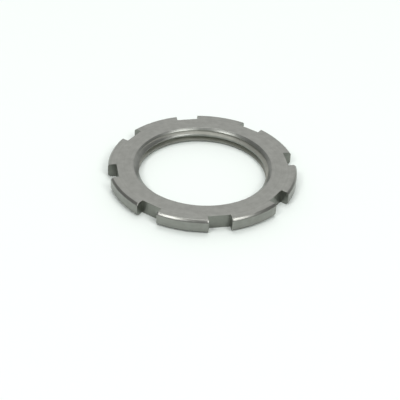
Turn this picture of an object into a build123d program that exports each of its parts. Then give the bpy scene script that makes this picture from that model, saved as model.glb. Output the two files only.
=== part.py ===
from build123d import *
import os
from math import sqrt

# Castle nut: a thin round nut with a metric fine thread and eight square slots for a hook or pin spanner.
#
# All lengths are in millimetres. The nut lies flat: z = 0 is its lower face, +Z is the thread axis, the
# origin is the centre of the lower face, and one slot points along +X.

# Ring
outer_dia = 42.0
thickness = 3.2
rim_chamfer = 0.5  # 45 degrees, on the outer edge of both faces

# Thread: M30 x 1.5, right hand. The solid holds the bore at the thread's crests.
thread_major_dia = 30.0
thread_pitch = 1.5
lead_in_dia = 30.8  # mouth of the 90 degree lead-in on the upper face
underside_break = 0.2  # 45 degree deburring of the bore on the lower face

# Spanner slots, open at the rim and at both faces, with a flat floor
slot_count = 8
slot_width = 5.0
slot_depth = 2.0

# ISO 68-1: an internal thread is 5/8 of the sharp triangle's height deep
sharp_height = thread_pitch * sqrt(3) / 2
thread_depth = sharp_height * 5 / 8

rim_radius = outer_dia / 2
crest_radius = thread_major_dia / 2 - thread_depth
lead_in_radius = lead_in_dia / 2
slot_floor_radius = rim_radius - slot_depth


def turned_ring():
    """The ring as it leaves the lathe: bore, lead-in, deburred edge and both rim chamfers in one profile."""
    lead_in_depth = lead_in_radius - crest_radius
    section = Polyline(
        (crest_radius, underside_break),
        (crest_radius + underside_break, 0),
        (rim_radius - rim_chamfer, 0),
        (rim_radius, rim_chamfer),
        (rim_radius, thickness - rim_chamfer),
        (rim_radius - rim_chamfer, thickness),
        (lead_in_radius, thickness),
        (crest_radius, thickness - lead_in_depth),
        close=True,
    )
    return revolve(make_face(Plane.XZ * section), Axis.Z)


def slot_cutters():
    """One milling cut for each slot. It runs out past the rim and past both faces."""
    cutter = Box(2 * slot_depth, slot_width, 2 * thickness)
    cutter_centre = slot_floor_radius + slot_depth
    return PolarLocations(cutter_centre, slot_count) * cutter


def castle_nut():
    """The finished nut: the turned ring with its slots milled through."""
    return turned_ring() - slot_cutters()


os.makedirs("parts", exist_ok=True)
export_step(castle_nut(), "parts/castle_nut.step")
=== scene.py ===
from math import cos, pi, radians, sin, sqrt, tan

import bmesh
import bpy
from bpy.props import FloatProperty, FloatVectorProperty, IntProperty, PointerProperty
from mathutils import Matrix, Vector


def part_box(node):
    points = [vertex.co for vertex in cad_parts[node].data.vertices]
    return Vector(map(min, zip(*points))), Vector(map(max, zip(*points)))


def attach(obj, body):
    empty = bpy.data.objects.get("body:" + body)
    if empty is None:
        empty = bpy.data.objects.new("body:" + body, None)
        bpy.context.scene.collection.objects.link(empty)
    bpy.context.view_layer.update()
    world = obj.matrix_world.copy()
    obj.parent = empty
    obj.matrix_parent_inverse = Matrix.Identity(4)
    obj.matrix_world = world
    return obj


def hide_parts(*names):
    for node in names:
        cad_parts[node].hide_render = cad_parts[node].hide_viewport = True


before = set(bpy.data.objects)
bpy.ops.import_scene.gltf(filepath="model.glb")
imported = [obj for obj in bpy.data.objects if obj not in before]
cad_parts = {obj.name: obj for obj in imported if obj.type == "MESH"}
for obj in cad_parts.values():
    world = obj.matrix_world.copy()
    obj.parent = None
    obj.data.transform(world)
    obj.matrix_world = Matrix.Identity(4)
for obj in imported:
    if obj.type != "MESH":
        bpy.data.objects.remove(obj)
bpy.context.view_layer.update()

bl_info = {
    "name": "Castle Nut",
    "version": (1, 0, 0),
    "blender": (4, 5, 0),
    "location": "3D View > Sidebar > Castle Nut",
    "description": "A slotted round nut with a fine thread, and a small studio to see it in",
    "category": "Object",
}

NODE = "castle_nut"
NODE_LOW, NODE_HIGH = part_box(NODE)
MM = 0.001
MERGE = 0.001 * MM  # points nearer to each other than this are one point
ON_PLANE = 0.0001 * MM  # a point nearer to a cut than this lies on it
SHARP = radians(30)  # an edge that turns more than this gets deburred
SMOOTH = radians(35)  # an edge that turns less than this is shaded as part of one curved surface
RING_STEPS = 320  # facets round the axis: keeps every corner of a slot clear of the ring's own edges

# What tool marks and clouds do to bare steel, the same for every cut.
CLOUD = 1.5 * MM  # width of the faint clouds
MARKS_SHARE = 0.35  # how much of the tint comes from the tool marks, where the clouds' share is 1
TINT = 0.09  # the largest step of the tint to either side of the colour
DULLING = 0.02  # the largest step to either side of the roughness
RELIEF = 0.05  # strength of the marks' bump

LAMP_DISTANCE = 1.2  # metres from the nut to each lamp
FLOOR_WIDTH = 4  # metres, so that the floor reaches past every view


def linear(code):
    """The linear colour of an sRGB hex code."""
    parts = [int(code[i:i + 2], 16) / 255 for i in (0, 2, 4)]
    return tuple(p / 12.92 if p <= 0.04045 else ((p + 0.055) / 1.055) ** 2.4 for p in parts)


# ---------------------------------------------------------------------------------------------- settings


class NutSizes(bpy.types.PropertyGroup):
    """The nut's sizes, the same as in its CAD source, and those of its thread."""

    outer_dia: FloatProperty(
        name="Outer diameter", description="Diameter over the rim",
        default=42.0 * MM, unit="LENGTH", precision=5)
    thickness: FloatProperty(
        name="Thickness", description="Height between the two faces",
        default=NODE_HIGH.z - NODE_LOW.z, unit="LENGTH", precision=5)
    rim_chamfer: FloatProperty(
        name="Rim chamfer", description="Leg of the 45 degree chamfer on the rim's two edges",
        default=0.5 * MM, unit="LENGTH", precision=5)
    edge_break: FloatProperty(
        name="Edge break", description="Width of the deburring on the sharp outer edges",
        default=0.05 * MM, unit="LENGTH", precision=5)
    rim_round: FloatProperty(
        name="Rim rounding", description="Softening where the rim's chamfers meet the rim and the faces",
        default=0.1 * MM, unit="LENGTH", precision=5)
    thread_dia: FloatProperty(
        name="Thread diameter", description="Major diameter of the thread, at the bottom of its groove",
        default=30.0 * MM, unit="LENGTH", precision=5)
    thread_pitch: FloatProperty(
        name="Thread pitch", description="Height that the thread climbs in one turn",
        default=1.5 * MM, unit="LENGTH", precision=5)
    thread_start: FloatProperty(
        name="Thread start", description="Height of the middle of the groove above +X",
        default=0.7535 * MM, unit="LENGTH", precision=5)
    lead_in_dia: FloatProperty(
        name="Lead-in diameter", description="Mouth of the 90 degree lead-in on the upper face",
        default=30.8 * MM, unit="LENGTH", precision=5)
    underside_break: FloatProperty(
        name="Underside break", description="Leg of the deburring at the bore's lower edge",
        default=0.2 * MM, unit="LENGTH", precision=5)
    slot_count: IntProperty(
        name="Slots", description="Number of spanner slots round the rim", default=8, min=1)
    slot_width: FloatProperty(
        name="Slot width", description="Width of a spanner slot",
        default=5.0 * MM, unit="LENGTH", precision=5)
    slot_depth: FloatProperty(
        name="Slot depth", description="Depth of a spanner slot, from the rim to its flat floor",
        default=2.0 * MM, unit="LENGTH", precision=5)


class NutFinish(bpy.types.PropertyGroup):
    """Colours and roughness of the steel, by the tool that cut it; the bored and milled greys are also
    darkened as painted shade in the bore and the slots.
    """

    # Real tool marks lie 0.1 to 0.2 mm apart, too fine to show, so all marks are drawn a few times coarser.

    turned_colour: FloatVectorProperty(
        name="Turned colour", description="Colour of the faces, rim and chamfers",
        subtype="COLOR", default=linear("8E8F8A"), min=0, max=1)
    turned_roughness: FloatProperty(
        name="Turned roughness", description="Roughness of the faces, rim and chamfers",
        default=0.3, subtype="FACTOR", min=0, max=1)
    turned_marks: FloatProperty(
        name="Turned marks", description="Distance between the rings that the lathe tool left",
        default=0.4 * MM, unit="LENGTH", precision=5)
    # The bored grey is a little darker than the turned one: partly the bore's own finish, partly painted
    # shade inside the bore.
    bored_shaded_colour: FloatVectorProperty(
        name="Bored colour", description="Colour of the lead-in and of the thread's crests",
        subtype="COLOR", default=linear("888A85"), min=0, max=1)
    bored_roughness: FloatProperty(
        name="Bored roughness", description="Roughness of the lead-in and of the thread's crests",
        default=0.32, subtype="FACTOR", min=0, max=1)
    # The milled grey is darkened as painted shade in the slots' recesses.
    milled_shaded_colour: FloatVectorProperty(
        name="Milled colour", description="Colour of the slots' floors and walls",
        subtype="COLOR", default=linear("858781"), min=0, max=1)
    milled_roughness: FloatProperty(
        name="Milled roughness", description="Roughness of the slots' floors and walls",
        default=0.34, subtype="FACTOR", min=0, max=1)
    milled_marks: FloatProperty(
        name="Milled marks", description="Distance between the streaks that the milling cutter left",
        default=0.5 * MM, unit="LENGTH", precision=5)
    tapped_colour: FloatVectorProperty(
        name="Tapped colour", description="Colour of the thread's groove",
        subtype="COLOR", default=linear("96978F"), min=0, max=1)
    tapped_roughness: FloatProperty(
        name="Tapped roughness", description="Roughness of the thread's groove",
        default=0.4, subtype="FACTOR", min=0, max=1)
    tapped_marks: FloatProperty(
        name="Tapped marks", description="Distance between the torn places along the thread",
        default=0.6 * MM, unit="LENGTH", precision=5)


class StudioSettings(bpy.types.PropertyGroup):
    """The camera, the floor and the lights."""

    camera_azimuth: FloatProperty(
        name="Camera azimuth", description="Angle of the camera round the nut, from the front",
        default=radians(-12.17), subtype="ANGLE")
    camera_elevation: FloatProperty(
        name="Camera elevation", description="Angle of the camera above the floor",
        default=radians(35.84), subtype="ANGLE")
    camera_roll: FloatProperty(
        name="Camera roll", description="Turn of the camera about its own line of sight",
        default=radians(3.01), subtype="ANGLE")
    camera_distance: FloatProperty(
        name="Camera distance", description="Distance from the nut's centre",
        default=269.2 * MM, unit="LENGTH", precision=4)
    camera_lens: FloatProperty(
        name="Focal length", description="Focal length in millimetres on a 36 mm sensor", default=108.7)
    camera_right: FloatProperty(
        name="Move right", description="How far the camera stands to the right of the nut's centre",
        default=-0.546 * MM, unit="LENGTH", precision=5)
    camera_up: FloatProperty(
        name="Move up", description="How far the camera stands above the line to the nut's centre",
        default=-6.56 * MM, unit="LENGTH", precision=5)
    left_lamp_level: FloatProperty(
        name="Left lamp", description="Brightness of the soft lamp on the left, where 1 is white",
        default=8.3, min=0)
    right_lamp_level: FloatProperty(
        name="Right lamp", description="Brightness of the soft lamp on the right, where 1 is white",
        default=5.2, min=0)
    top_lamp_level: FloatProperty(
        name="Top lamp", description="Brightness of the high lamp behind the nut, where 1 is white",
        default=3.5, min=0)
    room_level: FloatProperty(
        name="Room", description="Brightness of the dim parts of the room, where 1 is white",
        default=0.34, min=0)
    horizon_level: FloatProperty(
        name="Horizon", description="Brightness of the room's walls near the floor, where 1 is white",
        default=0.5, min=0)
    paper_colour: FloatVectorProperty(
        name="Paper", description="Colour of the pale paper on the table, faintly green in the shadow",
        subtype="COLOR", default=linear("EDF3EF"), min=0, max=1)


# ---------------------------------------------------------------------------------------------- tools


def alone(obj):
    """Makes obj the only selected object, and the active one."""
    bpy.ops.object.select_all(action="DESELECT")
    obj.select_set(True)
    bpy.context.view_layer.objects.active = obj


def apply_place():
    """Puts the active object's place, turn and scale into its mesh."""
    bpy.ops.object.transform_apply(location=True, rotation=True, scale=True)


def tidy_shell():
    """Closes the seams of the mesh being edited and turns its faces outwards."""
    bpy.ops.mesh.select_all(action="SELECT")
    bpy.ops.mesh.remove_doubles(threshold=MERGE)
    bpy.ops.mesh.dissolve_degenerate(threshold=MERGE)
    bpy.ops.mesh.select_all(action="SELECT")
    bpy.ops.mesh.normals_make_consistent(inside=False)


def cut(piece, cutter, steel):
    """Takes the cutter's volume out of the piece; the faces that it cut get that steel's finish."""
    cutter.data.materials.append(steel)
    modifier = piece.modifiers.new("cut", "BOOLEAN")
    modifier.operation = "DIFFERENCE"
    modifier.solver = "EXACT"
    modifier.material_mode = "TRANSFER"
    modifier.object = cutter
    alone(piece)
    bpy.ops.object.modifier_apply(modifier=modifier.name)
    bpy.data.objects.remove(cutter, do_unlink=True)


def add_node(tree, kind, inputs=None, **settings):
    """Adds a node with its settings; inputs maps a socket's name or number to a value or to its source."""
    node = tree.nodes.new(kind)
    for name, value in settings.items():
        setattr(node, name, value)
    for name, value in (inputs or {}).items():
        if isinstance(value, bpy.types.NodeSocket):
            tree.links.new(value, node.inputs[name])
        else:
            node.inputs[name].default_value = value
    return node


# ---------------------------------------------------------------------------------------------- the nut


def crest_radius(sizes):
    """Radius of the thread's crests: an internal thread is 5/8 of its sharp triangle's height deep."""
    return sizes.thread_dia / 2 - sizes.thread_pitch * sqrt(3) / 2 * 5 / 8


def turned_ring(sizes):
    """The blank off the lathe: a plate that stands on the X axis, cut to the section and spun round Z."""
    bore = crest_radius(sizes)
    rim = sizes.outer_dia / 2
    top = sizes.thickness
    bpy.ops.object.select_all(action="DESELECT")
    bpy.ops.mesh.primitive_plane_add(
        size=1, location=((bore + rim) / 2, 0, top / 2), rotation=(pi / 2, 0, 0))
    ring = bpy.context.object
    ring.scale = (rim - bore, top, 1)
    apply_place()
    corner_cuts = (
        ((rim - sizes.rim_chamfer, 0, top), (1, 0, 1)),
        ((rim - sizes.rim_chamfer, 0, 0), (1, 0, -1)),
        ((sizes.lead_in_dia / 2, 0, top), (-1, 0, 1)),
        ((bore + sizes.underside_break, 0, 0), (-1, 0, -1)),
    )
    bpy.ops.object.mode_set(mode="EDIT")
    for point, outward in corner_cuts:
        bpy.ops.mesh.select_all(action="SELECT")
        bpy.ops.mesh.bisect(plane_co=point, plane_no=outward, clear_outer=True, threshold=ON_PLANE)
    bpy.ops.mesh.select_mode(type="VERT")
    bpy.ops.mesh.select_all(action="DESELECT")
    mesh = bmesh.from_edit_mesh(ring.data)
    beyond_lead_in = rim - 1.5 * sizes.rim_chamfer
    for vert in mesh.verts:
        vert.select_set(vert.co.x > beyond_lead_in)
    bmesh.update_edit_mesh(ring.data)
    bpy.ops.mesh.bevel(offset=sizes.rim_round, segments=2, profile=0.5, affect="VERTICES")
    bpy.ops.mesh.select_all(action="SELECT")
    bpy.ops.mesh.delete(type="ONLY_FACE")
    bpy.ops.mesh.select_all(action="SELECT")
    bpy.ops.mesh.spin(steps=RING_STEPS, angle=2 * pi, center=(0, 0, 0), axis=(0, 0, 1))
    tidy_shell()
    bpy.ops.object.mode_set(mode="OBJECT")
    return ring


def slot_cutters(sizes):
    """The paths of the milling cutter: one block through the rim, copied round Z."""
    bpy.ops.object.select_all(action="DESELECT")
    bpy.ops.mesh.primitive_cube_add(size=1, location=(sizes.outer_dia / 2, 0, sizes.thickness / 2))
    cutters = bpy.context.object
    cutters.scale = (2 * sizes.slot_depth, sizes.slot_width, 2 * sizes.thickness)
    apply_place()
    bpy.ops.object.mode_set(mode="EDIT")
    bpy.ops.mesh.select_all(action="SELECT")
    copies = sizes.slot_count - 1
    bpy.ops.mesh.spin(
        steps=copies, dupli=True, angle=2 * pi * copies / sizes.slot_count,
        center=(0, 0, 0), axis=(0, 0, 1))
    bpy.ops.mesh.select_all(action="SELECT")
    bpy.ops.mesh.normals_make_consistent(inside=False)
    bpy.ops.object.mode_set(mode="OBJECT")
    return cutters


def break_edges(ring, sizes):
    """Deburrs every sharp outer edge, from the mouth of the bore outwards, with a tiny rounded bevel."""
    alone(ring)
    bpy.ops.object.mode_set(mode="EDIT")
    bpy.ops.mesh.select_mode(type="EDGE")
    bpy.ops.mesh.select_all(action="DESELECT")
    mesh = bmesh.from_edit_mesh(ring.data)
    innermost = sizes.lead_in_dia / 2 - 0.05 * MM  # takes in the edge of the lead-in's mouth
    for edge in mesh.edges:
        outside = all(vert.co.xy.length > innermost for vert in edge.verts)
        edge.select_set(outside and edge.is_convex and edge.calc_face_angle(0) > SHARP)
    bmesh.update_edit_mesh(ring.data)
    bpy.ops.mesh.bevel(offset=sizes.edge_break, segments=2, profile=0.5, affect="EDGES")
    bpy.ops.object.mode_set(mode="OBJECT")


def thread_groove(sizes):
    """The path of the threading tool: the groove's section wound up a helix, past both faces."""
    root = sizes.thread_dia / 2
    inner = crest_radius(sizes) - 0.25 * MM  # past the crests, so that the groove is cut clean
    root_flat = sizes.thread_pitch / 8
    flank = radians(30)  # half of the thread's 60 degree angle
    mouth = root_flat + 2 * tan(flank) * (root - inner)
    turns = 5  # two turns below the start and three above clear both faces
    start = sizes.thread_start - 2 * sizes.thread_pitch
    bpy.ops.object.select_all(action="DESELECT")
    bpy.ops.mesh.primitive_plane_add(
        size=1, location=((root + inner) / 2, 0, start), rotation=(pi / 2, 0, 0))
    groove = bpy.context.object
    groove.scale = (root - inner, mouth, 1)
    apply_place()
    bpy.ops.object.mode_set(mode="EDIT")
    bpy.ops.mesh.select_mode(type="VERT")
    bpy.ops.mesh.select_all(action="DESELECT")
    mesh = bmesh.from_edit_mesh(groove.data)
    for vert in mesh.verts:
        vert.select_set(vert.co.x > (root + inner) / 2)
    bmesh.update_edit_mesh(groove.data)
    bpy.ops.transform.resize(value=(1, 1, root_flat / mouth), center_override=(root, 0, start))
    bpy.ops.mesh.select_all(action="SELECT")
    bpy.ops.mesh.delete(type="ONLY_FACE")
    bpy.ops.object.mode_set(mode="OBJECT")
    wind = groove.modifiers.new("wind", "SCREW")
    wind.axis = "Z"
    wind.angle = 2 * pi
    wind.screw_offset = sizes.thread_pitch
    wind.iterations = turns
    wind.steps = RING_STEPS
    wind.render_steps = RING_STEPS
    alone(groove)
    bpy.ops.object.modifier_apply(modifier=wind.name)
    bpy.ops.object.mode_set(mode="EDIT")
    bpy.ops.mesh.select_all(action="SELECT")
    bpy.ops.mesh.fill_holes(sides=4)
    tidy_shell()
    bpy.ops.object.mode_set(mode="OBJECT")
    return groove


def machined(name, colour, roughness, marks_of, spacing, depth):
    """Bare machined steel: tool marks that tint, dull and groove it a little, over a faint cloudiness."""
    material = bpy.data.materials.new(name)
    material.use_nodes = True
    tree = material.node_tree
    tree.nodes.clear()
    place = add_node(tree, "ShaderNodeTexCoord").outputs["Object"]
    marks = marks_of(tree, place, spacing)
    cloud = add_node(
        tree, "ShaderNodeTexNoise", {"Vector": place, "Scale": 1 / CLOUD, "Detail": 3}).outputs[0]
    mixed = add_node(
        tree, "ShaderNodeMath", {0: marks, 1: MARKS_SHARE, 2: cloud}, operation="MULTIPLY_ADD").outputs[0]
    tone = add_node(
        tree, "ShaderNodeMapRange", {"Value": mixed, 1: 0.45, 2: 0.9, 3: 1 - TINT, 4: 1 + TINT}).outputs[0]
    base = add_node(
        tree, "ShaderNodeVectorMath", {0: tuple(colour), "Scale": tone}, operation="SCALE").outputs[0]
    rough = add_node(
        tree, "ShaderNodeMapRange",
        {"Value": marks, 1: 0.3, 2: 0.7, 3: roughness - DULLING, 4: roughness + DULLING}).outputs[0]
    bump = add_node(
        tree, "ShaderNodeBump", {"Strength": RELIEF, "Distance": depth, "Height": marks}).outputs[0]
    shader = add_node(
        tree, "ShaderNodeBsdfPrincipled",
        {"Base Color": base, "Metallic": 1.0, "Roughness": rough, "Normal": bump})
    add_node(tree, "ShaderNodeOutputMaterial", {"Surface": shader.outputs[0]})
    return material


def ring_marks(tree, place, spacing):
    """Rings round the nut's axis, on flat faces, cones and cylinders alike."""
    flat = add_node(
        tree, "ShaderNodeVectorMath", {0: place, 1: (1, 1, 0)}, operation="MULTIPLY").outputs[0]
    radius = add_node(tree, "ShaderNodeVectorMath", {0: flat}, operation="LENGTH").outputs["Value"]
    height = add_node(tree, "ShaderNodeSeparateXYZ", {0: place}).outputs["Z"]
    climb = 0.6  # not 1, because along a 45 degree chamfer radius and height add up to one number
    travel = add_node(
        tree, "ShaderNodeMath", {0: height, 1: climb, 2: radius}, operation="MULTIPLY_ADD").outputs[0]
    return add_node(
        tree, "ShaderNodeTexNoise", {"W": travel, "Scale": 1 / spacing, "Detail": 1},
        noise_dimensions="1D").outputs[0]


def upright_marks(tree, place, spacing):
    """Streaks that run from one face to the other."""
    stretch = 0.08  # a streak is about twelve times as long as it is wide
    squashed = add_node(
        tree, "ShaderNodeVectorMath", {0: place, 1: (1, 1, stretch)}, operation="MULTIPLY").outputs[0]
    return add_node(
        tree, "ShaderNodeTexNoise", {"Vector": squashed, "Scale": 1 / spacing, "Detail": 2}).outputs[0]


def torn_marks(tree, place, spacing):
    """Small rough patches with no direction."""
    return add_node(
        tree, "ShaderNodeTexNoise", {"Vector": place, "Scale": 1 / spacing, "Detail": 2}).outputs[0]


def turned_steel(finish):
    """Turned carbon steel: a satin grey with faint rings where the lathe tool passed."""
    return machined(
        "turned_steel", finish.turned_colour, finish.turned_roughness,
        ring_marks, finish.turned_marks, 0.02 * MM)


def bored_steel_shaded(finish):
    """Bored carbon steel with the same faint rings as the faces; its darker grey is partly the bore's own
    finish, partly painted shade inside the bore.
    """
    return machined(
        "bored_steel_shaded", finish.bored_shaded_colour, finish.bored_roughness,
        ring_marks, finish.turned_marks, 0.02 * MM)


def milled_steel_shaded(finish):
    """Milled carbon steel: a rougher grey with streaks from one face to the other, darkened as painted
    shade in the slots.
    """
    return machined(
        "milled_steel_shaded", finish.milled_shaded_colour, finish.milled_roughness,
        upright_marks, finish.milled_marks, 0.03 * MM)


def tapped_steel(finish):
    """Tapped carbon steel: the torn, frosted grey of a thread's flanks, which blurs what it mirrors."""
    return machined(
        "tapped_steel", finish.tapped_colour, finish.tapped_roughness,
        torn_marks, finish.tapped_marks, 0.03 * MM)


class CASTLENUT_OT_nut(bpy.types.Operator):
    """Model the castle nut and let it stand for the plain CAD solid"""

    bl_idname = "castlenut.nut"
    bl_label = "Castle Nut"

    def execute(self, context):
        sizes = context.scene.nut_sizes
        finish = context.scene.nut_finish
        nut = turned_ring(sizes)
        nut.data.materials.append(turned_steel(finish))
        nut.data.materials.append(bored_steel_shaded(finish))
        for face in nut.data.polygons:
            # Faces inside the lead-in's mouth take the bored grey, which carries painted shade for the
            # bore.
            face.material_index = int(face.center.xy.length < sizes.lead_in_dia / 2)
        # The slots' faces take the milled grey, which carries painted shade for the slots.
        cut(nut, slot_cutters(sizes), milled_steel_shaded(finish))
        break_edges(nut, sizes)
        cut(nut, thread_groove(sizes), tapped_steel(finish))
        nut.name = "castle_nut_machined"
        nut.data.name = nut.name
        alone(nut)
        bpy.ops.object.mode_set(mode="EDIT")
        tidy_shell()
        bpy.ops.object.mode_set(mode="OBJECT")
        bpy.ops.object.shade_smooth_by_angle(angle=SMOOTH)
        even = nut.modifiers.new("even", "WEIGHTED_NORMAL")
        even.keep_sharp = True
        bpy.ops.object.modifier_apply(modifier=even.name)
        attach(nut, "root")
        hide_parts(NODE)
        return {"FINISHED"}


# ---------------------------------------------------------------------------------------------- the studio


def camera_axes(studio):
    """The camera's right, up and back directions."""
    turn = Matrix.Rotation(studio.camera_azimuth, 3, "Z")
    rise = studio.camera_elevation
    back = turn @ Vector((0, -cos(rise), sin(rise)))
    level = turn @ Vector((1, 0, 0))
    steep = turn @ Vector((0, sin(rise), cos(rise)))
    roll = studio.camera_roll
    right = level * cos(roll) + steep * sin(roll)
    up = steep * cos(roll) - level * sin(roll)
    return right, up, back


def add_camera(studio):
    """The camera, looking down at the nut."""
    right, up, back = camera_axes(studio)
    centre = Vector((0, 0, NODE_HIGH.z / 2))
    data = bpy.data.cameras.new("camera")
    data.lens = studio.camera_lens
    data.sensor_width = 36
    data.clip_start = 0.01
    data.clip_end = 10
    camera = bpy.data.objects.new("camera", data)
    bpy.context.collection.objects.link(camera)
    place = centre + back * studio.camera_distance + right * studio.camera_right + up * studio.camera_up
    camera.matrix_world = Matrix.Translation(place) @ Matrix((right, up, back)).transposed().to_4x4()
    bpy.context.scene.camera = camera


def add_lamp(name, studio, side, elevation, size, brightness):
    """A square soft lamp that points at the nut; side is in degrees round it from the camera."""
    data = bpy.data.lights.new(name, "AREA")
    data.size = size
    data.energy = brightness * pi * size * size
    lamp = bpy.data.objects.new(name, data)
    bpy.context.collection.objects.link(lamp)
    turn, rise = studio.camera_azimuth + radians(side), radians(elevation)
    back = Vector((sin(turn) * cos(rise), -cos(turn) * cos(rise), sin(rise)))
    lamp.location = back * LAMP_DISTANCE
    lamp.rotation_mode = "QUATERNION"
    lamp.rotation_quaternion = (-back).to_track_quat("-Z", "Y")


def add_surroundings(studio):
    """A dim room with a pale horizon, a white backdrop behind the nut and a white ceiling panel."""
    world = bpy.data.worlds.new("studio")
    world.use_nodes = True
    bpy.context.scene.world = world
    tree = world.node_tree
    tree.nodes.clear()
    direction = add_node(tree, "ShaderNodeTexCoord").outputs["Generated"]
    height = add_node(tree, "ShaderNodeSeparateXYZ", {0: direction}).outputs["Z"]
    turn, rise = studio.camera_azimuth, radians(28)  # the middle of the backdrop, opposite the camera
    behind = (-sin(turn) * cos(rise), cos(turn) * cos(rise), sin(rise))
    facing = add_node(
        tree, "ShaderNodeVectorMath", {0: direction, 1: behind}, operation="DOT_PRODUCT").outputs["Value"]
    white = add_node(tree, "ShaderNodeLightPath").outputs["Is Camera Ray"]
    bright_parts = (
        (height, 0.2, 0.02, studio.horizon_level),  # the room's walls near the floor
        (facing, 0.55, 0.85, 1.0),  # the backdrop
        (height, 0.86, 0.97, 1.0),  # the ceiling panel
    )
    for where, dim, full, brightness in bright_parts:
        part = add_node(
            tree, "ShaderNodeMapRange", {"Value": where, 1: dim, 2: full, 3: 0.0, 4: brightness},
            interpolation_type="SMOOTHSTEP").outputs[0]
        white = add_node(tree, "ShaderNodeMath", {0: white, 1: part}, operation="MAXIMUM").outputs[0]
    level = add_node(
        tree, "ShaderNodeMapRange", {"Value": white, 3: studio.room_level, 4: 1.0}).outputs[0]
    light = add_node(tree, "ShaderNodeBackground", {"Color": (1, 1, 1, 1), "Strength": level})
    add_node(tree, "ShaderNodeOutputWorld", {"Surface": light.outputs[0]})


class CASTLENUT_OT_studio(bpy.types.Operator):
    """Set up the floor, the lights and the camera"""

    bl_idname = "castlenut.studio"
    bl_label = "Studio"

    def execute(self, context):
        studio = context.scene.studio
        add_camera(studio)
        bpy.ops.object.select_all(action="DESELECT")
        bpy.ops.mesh.primitive_plane_add(size=FLOOR_WIDTH, location=(0, 0, 0))
        floor = context.object
        floor.name = "floor"
        material = bpy.data.materials.new("white_paper")
        material.use_nodes = True
        tree = material.node_tree
        tree.nodes.clear()
        # Uncoated white paper: flat and matt, so that it shows nothing but the nut's soft shadow.
        paper = add_node(tree, "ShaderNodeBsdfDiffuse", {"Color": (*studio.paper_colour, 1)})
        add_node(tree, "ShaderNodeOutputMaterial", {"Surface": paper.outputs[0]})
        floor.data.materials.append(material)
        # name, side and elevation in degrees, width in metres, brightness
        add_lamp("lamp_left", studio, -43, 50, 0.36, studio.left_lamp_level)
        add_lamp("lamp_right", studio, 47, 50, 0.5, studio.right_lamp_level)
        add_lamp("lamp_top", studio, 180, 68, 0.5, studio.top_lamp_level)
        add_surroundings(studio)
        context.scene.view_settings.view_transform = "Standard"
        return {"FINISHED"}


class CASTLENUT_PT_sidebar(bpy.types.Panel):
    """The nut's sizes and finish, and the studio"""

    bl_idname = "CASTLENUT_PT_sidebar"
    bl_label = "Castle Nut"
    bl_space_type = "VIEW_3D"
    bl_region_type = "UI"
    bl_category = "Castle Nut"

    def draw(self, context):
        for group, operator in (
            (context.scene.nut_sizes, None),
            (context.scene.nut_finish, CASTLENUT_OT_nut),
            (context.scene.studio, CASTLENUT_OT_studio),
        ):
            column = self.layout.column()
            for name in group.__annotations__:
                column.prop(group, name)
            if operator:
                column.operator(operator.bl_idname)


CLASSES = (
    NutSizes, NutFinish, StudioSettings,
    CASTLENUT_OT_nut, CASTLENUT_OT_studio, CASTLENUT_PT_sidebar,
)


def register():
    for item in CLASSES:
        bpy.utils.register_class(item)
    bpy.types.Scene.nut_sizes = PointerProperty(type=NutSizes)
    bpy.types.Scene.nut_finish = PointerProperty(type=NutFinish)
    bpy.types.Scene.studio = PointerProperty(type=StudioSettings)


def unregister():
    del bpy.types.Scene.studio
    del bpy.types.Scene.nut_finish
    del bpy.types.Scene.nut_sizes
    for item in reversed(CLASSES):
        bpy.utils.unregister_class(item)


def main():
    register()
    bpy.ops.castlenut.nut()
    bpy.ops.castlenut.studio()


if __name__ == "__main__":
    main()
